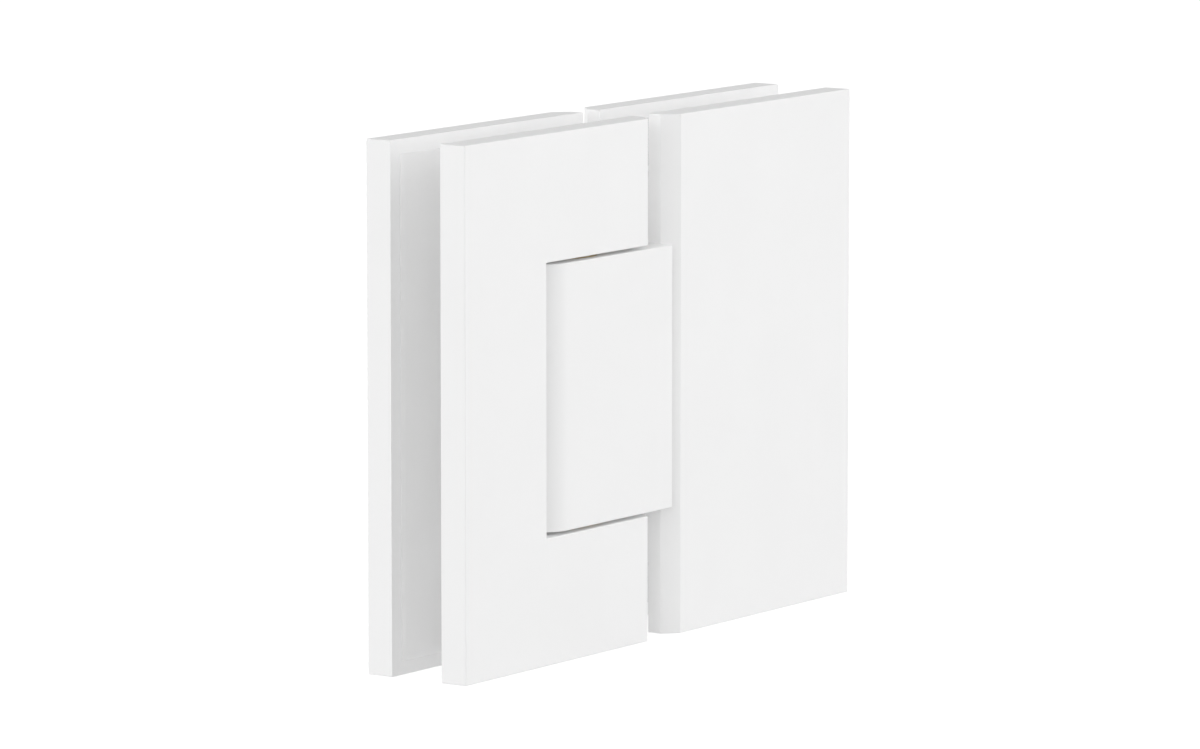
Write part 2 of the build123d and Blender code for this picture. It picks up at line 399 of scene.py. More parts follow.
class Recipe:
    """Nodes of one material, world or node group, added and wired step by step."""

    def __init__(self, tree: Tree) -> None:
        """Keeps the tree that the nodes go into."""
        self.tree = tree

    def add(self, kind: str, **values: object) -> Node:
        """Adds a node and sets its properties and inputs.

        Args:
            kind: Blender's name for the node type.
            values: Properties by name, or inputs by name with underscores for spaces. A socket is wired.

        Returns:
            The new node.
        """
        node = self.tree.nodes.new(kind)
        for key, value in values.items():
            if hasattr(node, key):
                setattr(node, key, value)
            else:
                self.feed(node.inputs[key.replace("_", " ")], value)
        return node

    def feed(self, socket: Socket, value: object) -> None:
        """Wires a socket to an output, or sets it to a value."""
        if isinstance(value, Socket):
            self.tree.links.new(value, socket)
        else:
            socket.default_value = value

    def wire(self, node: Node, *values: object) -> Node:
        """Feeds values to a node's inputs in their order and returns the node."""
        for socket, value in zip(node.inputs, values):
            self.feed(socket, value)
        return node

    def sum(self, kind: str, *values: object) -> Socket:
        """Adds a Math node of a kind, such as MULTIPLY, and returns its output."""
        return self.wire(self.add("ShaderNodeMath", operation=kind), *values).outputs[0]

    def noise(self, vector: object, density: object, detail: float) -> Socket:
        """Adds a noise pattern and spreads its value, which stays near its mean, from 0 to 1."""
        value = self.add("ShaderNodeTexNoise", Vector=vector, Scale=density, Detail=detail).outputs["Fac"]
        return self.add("ShaderNodeMapRange", Value=value, From_Min=0.3, From_Max=0.7).outputs[0]

    def tint(self, share: object, dark: Colour, light: Colour) -> Socket:
        """Mixes two colours by a share between 0 and 1."""
        node = self.add("ShaderNodeMix", data_type="RGBA", Factor=share, A=(*dark, 1.0), B=(*light, 1.0))
        return node.outputs["Result"]

    def bump(self, height: object, depth: float) -> Socket:
        """Turns a height between 0 and 1 into a normal, with its depth in metres."""
        node = self.add("ShaderNodeBump", Height=height, Distance=depth, Strength=1.0)
        return node.outputs["Normal"]


class Effects:
    """Node groups that several finishes share, each built once."""

    # Name, density against the cells and detail of each pattern of the surface grain.
    grain_patterns = (("Cells", 1.0, 1.5), ("Speckle", 5.0, 3.0), ("Smudge", 0.06, 2.0))

    @staticmethod
    def group(name: str, inputs: dict[str, str], outputs: Sequence[str]) -> tuple[Recipe, Node, Node]:
        """Starts a node group.

        Args:
            name: Name of the group.
            inputs: Socket type of each input by name.
            outputs: Names of the outputs, which are all values.

        Returns:
            The recipe of the group, its input node and its output node.
        """
        tree = bpy.data.node_groups.new(name, "ShaderNodeTree")
        for label, kind in inputs.items():
            tree.interface.new_socket(name=label, in_out="INPUT", socket_type=kind)
        for label in outputs:
            tree.interface.new_socket(name=label, in_out="OUTPUT", socket_type="NodeSocketFloat")
        recipe = Recipe(tree)
        return recipe, recipe.add("NodeGroupInput"), recipe.add("NodeGroupOutput")

    @staticmethod
    @cache
    def surface_grain() -> Tree:
        """Builds the fine unevenness of a coated, moulded or cast surface.

        Returns:
            A group that gives its cells, a finer speckle and slow smudges, each between 0 and 1.
        """
        sockets = {"Vector": "NodeSocketVector", "Cell Size": "NodeSocketFloat"}
        labels = [label for label, _, _ in Effects.grain_patterns]
        recipe, given, out = Effects.group("surface_grain", sockets, labels)
        scale = recipe.sum("DIVIDE", 1.0, given.outputs["Cell Size"])
        for label, density, detail in Effects.grain_patterns:
            pattern = recipe.noise(given.outputs["Vector"], recipe.sum("MULTIPLY", scale, density), detail)
            recipe.feed(out.inputs[label], pattern)
        return recipe.tree

    @staticmethod
    @cache
    def turning_marks() -> Tree:
        """Builds the rings that a lathe tool leaves round an axis.

        Returns:
            A group that takes a place about the axis in millimetres and gives the rings and their unevenness.
        """
        sockets = {"Vector": "NodeSocketVector", "Feed": "NodeSocketFloat"}
        recipe, given, out = Effects.group("turning_marks", sockets, ("Rings", "Uneven"))
        place = given.outputs["Vector"]
        distance = recipe.wire(recipe.add("ShaderNodeVectorMath", operation="LENGTH"), place)
        turns = recipe.sum("DIVIDE", distance.outputs["Value"], given.outputs["Feed"])
        wave = recipe.sum("SINE", recipe.sum("MULTIPLY", turns, 2 * math.pi))
        recipe.feed(out.inputs["Rings"], recipe.sum("MULTIPLY_ADD", wave, 0.5, 0.5))
        stretched = recipe.add("ShaderNodeCombineXYZ", X=turns)
        recipe.feed(out.inputs["Uneven"], recipe.noise(stretched.outputs[0], density=0.7, detail=3.0))
        return recipe.tree

    @staticmethod
    @cache
    def drawn_grain() -> Tree:
        """Builds the fine lines that grinding or rolling leaves, stretched as its inputs say.

        Returns:
            A group that gives the lines as a value between 0 and 1.
        """
        sockets = {"Vector": "NodeSocketVector", "Stretch": "NodeSocketVector"}
        recipe, given, out = Effects.group("drawn_grain", sockets, ("Lines",))
        place, stretch = given.outputs["Vector"], given.outputs["Stretch"]
        mapped = recipe.add("ShaderNodeMapping", vector_type="POINT", Vector=place, Scale=stretch)
        recipe.feed(out.inputs["Lines"], recipe.noise(mapped.outputs[0], density=1.0, detail=4.0))
        return recipe.tree


@dataclass(frozen=True)
class Finish:
    """A material whose look is worked out by nodes; each kind of finish fills in its own."""

    slot: str

    @cache
    def material(self) -> bpy.types.Material:
        """Builds the material once.

        Returns:
            The material, named after the record's slot and apart from the plain one that the frame brings.
        """
        made = bpy.data.materials.new(f"{self.slot}_finish")
        made.use_nodes = True
        shader = made.node_tree.nodes["Principled BSDF"]
        self.dress(Recipe(made.node_tree), shader)
        return made

    def dress(self, recipe: Recipe, shader: Node) -> None:
        """Wires the nodes of the finish to its shader."""
        raise NotImplementedError

    @staticmethod
    def grain(recipe: Recipe, cell: float) -> Node:
        """Adds the shared surface grain on Object coordinates, with its cell size in metres."""
        place = recipe.add("ShaderNodeTexCoord").outputs["Object"]
        node = recipe.add("ShaderNodeGroup", node_tree=Effects.surface_grain())
        return recipe.wire(node, place, cell)


@dataclass(frozen=True)
class Plastic(Finish):
    """Moulded or calendered plastic, from milky nylon to clear soft sheet."""

    colour: Colour = (0.85, 0.85, 0.82)
    shade: float = 0.03
    roughness: float = 0.5
    gloss_change: float = 0.1
    alpha: float = 1.0
    cell: float = 0.4 * MM
    depth: float = 0.004 * MM
    speckle_share: float = 0.0
    ior: float = 1.5
    specular: float = 0.5

    def dress(self, recipe: Recipe, shader: Node) -> None:
        """Wires the slightly mottled colour and gloss, the fine bump and how clear the surface is."""
        grain = self.grain(recipe, self.cell)
        cells, speckle = grain.outputs["Cells"], grain.outputs["Speckle"]
        darker = tuple(c - self.shade for c in self.colour)
        recipe.feed(shader.inputs["Base Color"], recipe.tint(grain.outputs["Smudge"], darker, self.colour))
        glossiest = self.roughness - self.gloss_change / 2
        rough = recipe.sum("MULTIPLY_ADD", speckle, self.gloss_change, glossiest)
        recipe.feed(shader.inputs["Roughness"], rough)
        height = recipe.sum("MULTIPLY_ADD", speckle, self.speckle_share, cells)
        recipe.feed(shader.inputs["Normal"], recipe.bump(height, self.depth))
        recipe.feed(shader.inputs["Alpha"], self.alpha)
        recipe.feed(shader.inputs["IOR"], self.ior)
        recipe.feed(shader.inputs["Specular IOR Level"], self.specular)


@dataclass(frozen=True)
class PowderCoat(Plastic):
    """Satin powder coat with a faint orange peel."""

    colour: Colour = (0.93, 0.93, 0.93)
    shade: float = 0.012
    roughness: float = 0.46
    gloss_change: float = 0.08
    cell: float = 1.1 * MM
    depth: float = 0.006 * MM
    speckle_share: float = 0.15
    specular: float = 0.4


@dataclass(frozen=True)
class TurnedMetal(Finish):
    """Bare or blackened metal off a lathe, with rings about each piece's own axis."""

    dark: Colour = (0.52, 0.52, 0.51)
    light: Colour = (0.66, 0.66, 0.65)
    roughness: float = 0.26
    gloss_change: float = 0.12
    feed: float = 0.16
    ring_depth: float = 0.006 * MM
    uneven_share: float = 0.5
    smudge_cell: float = 0.5 * MM

    def dress(self, recipe: Recipe, shader: Node) -> None:
        """Wires the rings as bump and gloss, and slow smudges as colour."""
        about = recipe.add("ShaderNodeUVMap", uv_map="lathe").outputs[0]
        marks = recipe.add("ShaderNodeGroup", node_tree=Effects.turning_marks())
        recipe.wire(marks, about, self.feed)
        grain = self.grain(recipe, self.smudge_cell)
        share = recipe.sum("MULTIPLY", grain.outputs["Cells"], marks.outputs["Uneven"])
        recipe.feed(shader.inputs["Base Color"], recipe.tint(share, self.light, self.dark))
        rough = recipe.sum("MULTIPLY_ADD", grain.outputs["Speckle"], self.gloss_change, self.roughness)
        recipe.feed(shader.inputs["Roughness"], rough)
        rings, uneven = marks.outputs["Rings"], marks.outputs["Uneven"]
        height = recipe.sum("MULTIPLY_ADD", uneven, self.uneven_share, rings)
        recipe.feed(shader.inputs["Normal"], recipe.bump(height, self.ring_depth))
        recipe.feed(shader.inputs["Metallic"], 1.0)


@dataclass(frozen=True)
class DrawnMetal(Finish):
    """Ground or rolled metal, with fine lines stretched one way."""

    dark: Colour = (0.46, 0.46, 0.46)
    light: Colour = (0.62, 0.62, 0.62)
    roughness: float = 0.2
    gloss_change: float = 0.16
    stretch: tuple[float, float, float] = (300.0, 300.0, 9000.0)
    line_depth: float = 0.003 * MM
    smudge_cell: float = 0.8 * MM
    smudge_share: float = 0.4

    def dress(self, recipe: Recipe, shader: Node) -> None:
        """Wires the lines as colour, gloss and bump."""
        place = recipe.add("ShaderNodeTexCoord").outputs["Object"]
        lines = recipe.add("ShaderNodeGroup", node_tree=Effects.drawn_grain())
        recipe.wire(lines, place, self.stretch)
        grain = self.grain(recipe, self.smudge_cell)
        share = recipe.sum("MULTIPLY_ADD", grain.outputs["Smudge"], self.smudge_share, lines.outputs["Lines"])
        recipe.feed(shader.inputs["Base Color"], recipe.tint(share, self.dark, self.light))
        rough = recipe.sum("MULTIPLY_ADD", lines.outputs["Lines"], self.gloss_change, self.roughness)
        recipe.feed(shader.inputs["Roughness"], rough)
        recipe.feed(shader.inputs["Normal"], recipe.bump(lines.outputs["Lines"], self.line_depth))
        recipe.feed(shader.inputs["Metallic"], 1.0)


WHITE_COAT = PowderCoat("white_coat")
CLEAR_GASKET = Plastic(
    "clear_gasket", colour=(0.98, 0.98, 0.98), shade=0.01, roughness=0.22, alpha=0.10,
    cell=0.9 * MM, depth=0.002 * MM,
)
STAINLESS = TurnedMetal("stainless")
DARK_STEEL = TurnedMetal(
    "dark_steel", dark=(0.05, 0.05, 0.055), light=(0.11, 0.11, 0.115), roughness=0.36,
    gloss_change=0.14, feed=0.2, ring_depth=0.004 * MM,
)
PIN_STEEL = DrawnMetal("pin_steel")
BEARING_BRASS = TurnedMetal(
    "bearing_brass", dark=(0.60, 0.44, 0.20), light=(0.80, 0.62, 0.32), roughness=0.24,
    gloss_change=0.12, feed=0.12, ring_depth=0.004 * MM,
)
SPRING_STEEL = DrawnMetal(
    "spring_steel", dark=(0.22, 0.24, 0.29), light=(0.40, 0.41, 0.44), roughness=0.24,
    gloss_change=0.14, stretch=(8000.0, 8000.0, 260.0),
)
WHITE_NYLON = Plastic("white_nylon")


def install(piece: Piece, finish: Finish, body: Leaf, *nodes: str) -> Piece:
    """Dresses a finished piece, rides it on its body and lets it stand for its nodes.

    Args:
        piece: The modelled piece, in place.
        finish: Its finish, named after the record's slot.
        body: The leaf that carries it.
        nodes: The nodes of the frame that it stands for.

    Returns:
        The piece.
    """
    piece.data.materials.clear()
    piece.data.materials.append(finish.material())
    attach(piece, body.value)
    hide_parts(*nodes)
    log.info("%s: %d faces, %s", piece.name, len(piece.data.polygons), finish.slot)
    return piece


@dataclass
class CoatedPlates:
    """The four clamp plates, kept from the frame and coated."""

    names: tuple[str, ...] = ("door_front_plate", "door_back_plate", "panel_front_plate", "panel_back_plate")

    def dress(self) -> None:
        """Gives each plate the powder coat."""
        for name in self.names:
            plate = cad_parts[name]
            plate.data.materials.clear()
            plate.data.materials.append(WHITE_COAT.material())
            log.info("%s: kept from the frame, %s", name, WHITE_COAT.slot)


@dataclass
class PivotBlock:
    """The block in the notch, in one piece with the tongue between the panel plates."""

    nose_radius: float = 5.0 * MM
    nose_steps: int = 28
    edge_round: float = 0.2 * MM
    edge_steps: int = 3
    tongue_edge: float = 0.3 * MM
    neck_step: float = 0.5 * MM
    ear_start: float = 2.0 * MM
    ear_corner: float = 5.0 * MM
    ear_steps: int = 16
    bore_play: float = 0.02 * MM
    bore_chamfer: float = 0.3 * MM
    tapped_radius: float = 2.5 * MM
    screw_hole: float = 2.65 * MM
    sink_radius: float = 5.15 * MM
    sink_depth: float = 2.0 * MM
    lock_radius: float = 2.0 * MM

    def __post_init__(self) -> None:
        """Reads the block's outer sizes from the frame."""
        low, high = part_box("pivot_block")
        self.nose_end, self.outer, self.tongue_end, self.ear_half = low.x, high.y, high.x, high.z
        self.block_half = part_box("upper_bush")[1].z
        self.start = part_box("panel_front_plate")[0].x
        self.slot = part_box("panel_back_plate")[0].y

    def body(self) -> Piece:
        """Makes the block itself, with its rounded nose and broken rims."""
        low = (self.nose_end, -self.outer, -self.block_half)
        high = (self.start, self.outer, self.block_half)
        body = Bench.block("pivot_block_white", low, high)

        def at_nose(a: Vector, b: Vector) -> bool:
            return max(a.x, b.x) < self.nose_end + WELD and abs(a.z - b.z) > self.block_half

        def at_rim(a: Vector, b: Vector) -> bool:
            return abs(a.z - b.z) < WELD or min(a.x, b.x) > self.start - WELD

        Bench.soften(body, self.nose_radius, self.nose_steps, at_nose)
        return Bench.soften(body, self.edge_round, self.edge_steps, at_rim)

    def tongue(self) -> list[Piece]:
        """Makes the neck and the ears that reach in between the panel plates."""
        slot, end = self.slot, self.tongue_end
        neck_half = self.block_half - self.neck_step
        ear = self.start + self.ear_start
        neck = Bench.block("neck", (0, -slot, -neck_half), (ear + self.ear_corner, slot, neck_half))
        ears = Bench.block("ears", (ear, -slot, -self.ear_half), (end, slot, self.ear_half))

        def at_far_corner(a: Vector, b: Vector) -> bool:
            return min(a.x, b.x) > end - WELD and abs(a.y - b.y) > slot

        Bench.soften(ears, self.ear_corner, self.ear_steps, at_far_corner)
        return [neck, Bench.break_edges(ears, self.tongue_edge)]

    def holes(self) -> list[Piece]:
        """Makes the cutters of the bush bore and of every screw hole."""
        bush_low, bush_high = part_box("upper_bush")
        centre = (bush_low.x + bush_high.x) / 2
        radius = (bush_high.x - bush_low.x) / 2 + self.bore_play
        end, lip = self.block_half, self.bore_chamfer
        wide = radius + lip + PAST
        half = [(0, end + PAST), (wide, end + PAST), (radius, end - lip)]
        bore = Bench.turned("bore", half + [(r, -z) for r, z in reversed(half)], BORE_STEPS)
        cutters = [Bench.place(bore, (centre, 0, 0), Axis.Z)]
        reach = 2 * self.slot + 2 * PAST
        for x, z in ScrewSet.places("panel_clamp_screws"):
            tapped = Bench.drill(self.tapped_radius, 0, -reach)
            cutters.append(Bench.place(tapped, (x, self.slot + PAST, z), Axis.Y))
        sink, hole, deep = self.sink_radius, self.screw_hole, self.sink_depth
        steps = [
            (0, PAST), (sink, PAST), (sink, -deep), (hole, -deep - sink + hole),
            (hole, -reach), (0, -reach),
        ]
        for x, z in ScrewSet.places("tongue_screws"):
            stepped = Bench.turned("sunk_hole", steps, SINK_STEPS)
            cutters.append(Bench.place(stepped, (x, self.slot, z), Axis.Y))
        for x, z in ScrewSet.places("bush_lock_screws"):
            tapped = Bench.drill(self.lock_radius, PAST, -self.slot)
            cutters.append(Bench.place(tapped, (x, self.outer, z), Axis.Y))
        return cutters

    def build(self) -> None:
        """Builds the block and puts it in place of its node."""
        block = Bench.combine(self.body(), "UNION", *self.tongue())
        Bench.combine(block, "DIFFERENCE", *self.holes())
        install(Bench.smooth(block), WHITE_COAT, Leaf.PANEL, "pivot_block")


class ScrewKind(Enum):
    """The kinds of screw in the hinge."""

    CLAMP = "countersunk M5"
    PIN_LOCK = "cup point M5"
    BUSH_LOCK = "cup point M4"


@dataclass
class Screw:
    """One socket screw, made about Z with its head or back end at the origin."""

    kind: ScrewKind
    length: float
    crest: float
    pitch: float
    key: float
    key_depth: float
    rim_radius: float = 4.75 * MM
    rim_rounding: tuple[Point, ...] = ((0.16 * MM, 0.0), (0.05 * MM, 0.04 * MM), (0.0, 0.14 * MM))
    rim_height: float = 0.25 * MM
    cone_reach: float = 5.0 * MM
    shank_drop: float = 0.85 * MM
    shank_step: float = 0.2 * MM
    core_start: float = 0.3 * MM
    core_stop: float = 0.7 * MM
    thread_lap: float = 0.3 * MM
    thread_past: float = 0.2 * MM
    grub_edge: float = 0.1 * MM
    grub_core: float = 0.5 * MM
    grub_start: float = 0.25 * MM
    drill_share: float = 0.98
    drill_slope: float = math.radians(31)
    drill_steps: int = 36
    mouth_rim: float = 0.15 * MM
    mouth_steps: int = 34
    point_chamfer: float = 0.65 * MM
    cup_rim: float = 0.1 * MM
    cup_slope: float = 0.5

    def head(self) -> list[Point]:
        """Gives the outline of what stands above the thread, from the middle of its top."""
        crest, root = self.crest, thread_root(self.crest, self.pitch)
        if self.kind is not ScrewKind.CLAMP:
            edge, core = self.grub_edge, self.grub_core
            return [(0, 0), (root - edge, 0), (root, -edge), (root, -core), (0, -core)]
        rim, shank = self.rim_radius, crest + self.shank_drop
        rounded = [(rim - inset, -drop) for inset, drop in self.rim_rounding]
        core_top, core_end = -shank - self.core_start, -shank - self.core_stop
        return [
            (0, 0), *rounded, (rim, -self.rim_height), (crest, crest - self.cone_reach),
            (crest - self.shank_step, -shank), (root, core_top), (root, core_end), (0, core_end),
        ]

    def socket(self) -> Piece:
        """Makes the cutter of the hexagon socket, with its drilled bottom and its chamfered mouth."""
        across = self.key / 2
        corner = across / math.cos(math.pi / 6)
        bpy.ops.object.select_all(action="DESELECT")
        bpy.ops.mesh.primitive_cylinder_add(
            vertices=6, radius=corner, depth=2 * self.key_depth, location=(0, 0, 0)
        )
        hexagon = Bench.settle(bpy.context.object)
        drill = across * self.drill_share
        tip = self.key_depth + drill * math.tan(self.drill_slope)
        drilled = [(0, 0), (drill, 0), (drill, -self.key_depth), (0, -tip)]
        bottom = Bench.turned("drilled", drilled, self.drill_steps)
        wide = corner + self.mouth_rim
        mouth = Bench.turned("mouth", [(0, wide), (wide * 2, wide), (0, -wide)], self.mouth_steps)
        return Bench.combine(hexagon, "UNION", bottom, mouth)

    def lead(self) -> list[Point]:
        """Gives the outline that slopes the start of a grub screw's thread."""
        root, wide = thread_root(self.crest, self.pitch), self.crest + PAST
        above, below = PAST / 2, -self.length - PAST
        return [(0, above), (root, above), (root, 0), (wide, -(wide - root)), (wide, below), (0, below)]

    def point(self) -> list[Point]:
        """Gives the outline that trims the far end: a chamfer, or a chamfer about a cup."""
        end, crest, slope = -self.length, self.crest, self.point_chamfer
        wide = crest + PAST
        tip = [(crest, end + slope), (crest - slope, end)]
        if self.kind is ScrewKind.CLAMP:
            past_head = wide * 3
            return [(0, wide), (past_head, wide), (past_head, end / 2), *tip, (0, end)]
        cup = crest - slope - self.cup_rim
        return [(0, wide), (wide, wide), (wide, end / 2), *tip, (cup, end), (0, end + cup * self.cup_slope)]

    def build(self) -> Piece:
        """Makes the screw.

        Returns:
            The master that the screws of a set are copied from.
        """
        outline = self.head()
        is_grub = self.kind is not ScrewKind.CLAMP
        top = -self.grub_start if is_grub else outline[-1][1] + self.thread_lap
        screw = Bench.turned("screw", outline)
        thread = Bench.threaded("thread", self.crest, self.pitch, top, -self.length - self.thread_past)
        Bench.combine(screw, "UNION", thread)
        if is_grub:
            Bench.combine(screw, "INTERSECT", Bench.turned("lead", self.lead()))
        Bench.combine(screw, "INTERSECT", Bench.turned("point", self.point()))
        Bench.combine(screw, "DIFFERENCE", self.socket())
        return Bench.map_from_axis(Bench.smooth(screw))


@dataclass
class ScrewSet:
    """Like screws that stand for one node, each turned as its thread happened to end."""

    node: str
    body: Leaf
    finish: Finish
    screw: Screw
    turn_step: float = math.radians(137.5)

    @staticmethod
    def places(node: str) -> list[Point]:
        """Works out the screws' places from the box of their node.

        Args:
            node: A node that holds two screws, one above the other, or four in two columns.

        Returns:
            X and Z of each screw, in metres.
        """
        low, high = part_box(node)
        across = min(HEAD_WIDTH, high.x - low.x)
        columns = sorted({round(low.x + across / 2, 6), round(high.x - across / 2, 6)})
        rows = (low.z + across / 2, high.z - across / 2)
        return [(x, z) for x in columns for z in rows]

    def build(self) -> None:
        """Copies the master to each place and puts the set in place of its node."""
        master = self.screw.build()
        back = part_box(self.node)[1].y
        screws = []
        for count, (x, z) in enumerate(self.places(self.node)):
            screw = Bench.copy(master)
            screws.append(Bench.place(screw, (x, back, z), Axis.Y, count * self.turn_step))
        bpy.data.objects.remove(master)
        install(Bench.gather(f"{self.node}_detailed", screws), self.finish, self.body, self.node)


@dataclass
class Gasket:
    """A clear gasket sheet between a plate and the glass, cut out as the glass is."""

    node: str
    body: Leaf
    cutout_depth: float = 41.5 * MM
    cutout_half: float = 34.2 * MM
    cutout_corner: float = 6.0 * MM
    corner_steps: int = 14
    lift: float = 0.02 * MM
    edge: float = 0.15 * MM

    def build(self) -> None:
        """Cuts the sheet, rounds its edges and puts it in place of its node."""
        low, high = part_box(self.node)
        side = math.copysign(1.0, low.x + high.x)
        face = math.copysign(1.0, low.y + high.y)
        inner, outer = (low.y, high.y - self.lift) if face > 0 else (low.y + self.lift, high.y)
        sheet = Bench.block(f"{self.node}_sheet", (low.x, inner, low.z), (high.x, outer, high.z))
        ends = sorted((-side * self.cutout_corner, side * self.cutout_depth))
        corner_low = (ends[0], low.y - PAST, -self.cutout_half)
        corner_high = (ends[1], high.y + PAST, self.cutout_half)
        tool = Bench.block("cutout", corner_low, corner_high)

        def at_corner(a: Vector, b: Vector) -> bool:
            return min(side * a.x, side * b.x) > self.cutout_depth - WELD and abs(a.y - b.y) > MM

        Bench.soften(tool, self.cutout_corner, self.corner_steps, at_corner)
        Bench.combine(sheet, "DIFFERENCE", tool)
        Bench.break_edges(sheet, self.edge)
        install(Bench.smooth(sheet), CLEAR_GASKET, self.body, self.node)


@dataclass
class HingePin:
    """The pin: journals in the lugs, round in the bushes and square between the detent leaves."""

    flat_width: float = 9.0 * MM
    journal_radius: float = 3.5 * MM
    flat_depth: float = 0.3 * MM
    flat_length: float = 6.0 * MM
    round_length: float = 8.0 * MM
    chamfer: float = 0.3 * MM
    centre_mark: float = 0.9 * MM
    mark_slope: float = 0.6

    def outline(self, radius: float, shoulder: float, end: float) -> list[Point]:
        """Gives the outline from the pin's upper end down to its lower end."""
        c, journal = self.chamfer, self.journal_radius
        upper = [
            (0, end - self.centre_mark), (self.centre_mark * self.mark_slope, end), (journal - c, end),
            (journal, end - c), (journal, shoulder), (radius - c, shoulder), (radius, shoulder - c),
        ]
        return upper + [(r, -z) for r, z in reversed(upper)]

    def build(self) -> None:
        """Turns the pin, mills its square and its two small flats, and puts it in place of its node."""
        low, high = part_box("hinge_pin")
        x, radius = (low.x + high.x) / 2, (high.x - low.x) / 2
        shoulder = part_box("upper_bush")[1].z
        square_end = shoulder - self.round_length
        turned = Bench.turned("hinge_pin_ground", self.outline(radius, shoulder, high.z), BORE_STEPS)
        pin = Bench.place(turned, (x, 0, 0), Axis.Z)
        half, wide = self.flat_width / 2, radius + PAST
        for side in (-1, 1):
            xs = sorted((x + side * half, x + side * wide))
            ys = sorted((side * half, side * wide))
            left = Bench.block("mill", (xs[0], -wide, -square_end), (xs[1], wide, square_end))
            right = Bench.block("mill", (x - wide, ys[0], -square_end), (x + wide, ys[1], square_end))
            Bench.combine(pin, "DIFFERENCE", left, right)
        flat, reach = self.journal_radius - self.flat_depth, self.flat_length / 2
        for _, z in ScrewSet.places("pin_lock_screws"):
            mill = Bench.block("mill", (x - wide, flat, z - reach), (x + wide, wide, z + reach))
            Bench.combine(pin, "DIFFERENCE", mill)
        install(Bench.smooth(pin), PIN_STEEL, Leaf.DOOR, "hinge_pin")


@dataclass
class Bushes:
    """The two pivot bushes with their saddles."""

    bore_play: float = 0.05 * MM
    flange: float = 8.0 * MM
    saddle_half: float = 5.0 * MM
    chamfer: float = 0.3 * MM
    dimple_radius: float = 2.02 * MM
    dimple_depth: float = 1.32 * MM
    sliver: float = 0.01 * MM

    def upper(self) -> Piece:
        """Makes the upper bush about Z, at its height."""
        low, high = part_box("upper_bush")
        pin_low, pin_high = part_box("hinge_pin")
        outer, bore = (high.x - low.x) / 2, (pin_high.x - pin_low.x) / 2 + self.bore_play
        c = self.chamfer
        outline = [
            (bore, low.z), (outer - c, low.z), (outer, low.z + c), (outer, high.z - c), (outer - c, high.z),
            (bore + c, high.z), (bore, high.z - c), (bore, low.z),
        ]
        bush = Bench.turned("upper_bush_turned", outline, BORE_STEPS)
        saddle_top = high.z - self.flange
        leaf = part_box("right_detent_leaf")[1].x - (low.x + high.x) / 2
        wide = outer + PAST
        cutters = [Bench.block("mill", (-leaf, -wide, low.z - PAST), (leaf, wide, saddle_top))]
        for side in (-1, 1):
            ys = sorted((side * self.saddle_half, side * wide))
            cutters.append(Bench.block("mill", (-wide, ys[0], low.z - PAST), (wide, ys[1], saddle_top)))
        lock = ScrewSet.places("bush_lock_screws")[-1][1]
        dimple = Bench.drill(self.dimple_radius, PAST, -self.dimple_depth)
        cutters.append(Bench.place(dimple, (0, outer, lock), Axis.Y))
        Bench.combine(bush, "DIFFERENCE", *cutters)
        Bench.merge_slivers(bush, self.sliver)
        return Bench.map_from_axis(Bench.smooth(bush))

    def build(self) -> None:
        """Makes both bushes from one and puts them in place of their nodes."""
        low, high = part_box("upper_bush")
        upper = self.upper()
        lower = Bench.copy(upper)
        lower.name = "lower_bush_turned"
        lower.rotation_euler = (0.0, math.pi, 0.0)
        for bush, node in ((upper, "upper_bush"), (Bench.settle(lower), "lower_bush")):
            bush.location = ((low.x + high.x) / 2, 0, 0)
            install(Bench.settle(bush), BEARING_BRASS, Leaf.PANEL, node)


@dataclass
class DetentLeaves:
    """The two spring leaves that press on the pin's flats."""

    corner: float = 1.0 * MM
    corner_steps: int = 8
    edge: float = 0.12 * MM

    def build(self) -> None:
        """Makes each leaf in place of its node."""

        def at_corner(a: Vector, b: Vector) -> bool:
            return abs(a.x - b.x) > WELD

        for node in ("left_detent_leaf", "right_detent_leaf"):
            low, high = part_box(node)
            leaf = Bench.block(f"{node}_rolled", low, high)
            Bench.soften(leaf, self.corner, self.corner_steps, at_corner)
            Bench.break_edges(leaf, self.edge)
            install(Bench.smooth(leaf), SPRING_STEEL, Leaf.PANEL, node)


@dataclass
class ThrustWashers:
    """The washers between the lugs and the block."""

    bore_radius: float = 3.65 * MM
    chamfer: float = 0.1 * MM

    def build(self) -> None:
        """Turns each washer in place of its node."""
        for node, body in (("upper_thrust_washer", Leaf.PANEL), ("lower_thrust_washer", Leaf.DOOR)):
            low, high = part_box(node)
            outer, bore, c = (high.x - low.x) / 2, self.bore_radius, self.chamfer
            half = (high.z - low.z) / 2
            outline = [
                (bore, -half), (outer - c, -half), (outer, c - half), (outer, half - c), (outer - c, half),
                (bore, half), (bore, -half),
            ]
            washer = Bench.map_from_axis(Bench.turned(f"{node}_turned", outline, BORE_STEPS))
            Bench.place(washer, (low + high) / 2, Axis.Z)
            install(Bench.smooth(washer), WHITE_NYLON, body, node)


@dataclass(frozen=True)
class Softbox:
    """A soft light that fills one side of the sky, brightest in its middle."""

    azimuth: float
    strength: float
    height: float = math.radians(8)
    spread: float = math.radians(26)

    def shine(self, recipe: Recipe, way: Socket) -> Socket:
        """Adds the nodes that give its light.

        Args:
            recipe: The recipe of the sky.
            way: The direction that is looked in.

        Returns:
            Its strength in that direction, half of the middle's at its spread.
        """
        level = math.cos(self.height)
        middle = (level * math.cos(self.azimuth), level * math.sin(self.azimuth), math.sin(self.height))
        aligned = recipe.wire(recipe.add("ShaderNodeVectorMath", operation="DOT_PRODUCT"), way, middle)
        sharpness = math.log(2) / (1 - math.cos(self.spread))
        power = recipe.sum("MULTIPLY_ADD", aligned.outputs["Value"], sharpness, -sharpness)
        return recipe.sum("MULTIPLY", recipe.sum("EXPONENT", power), self.strength)


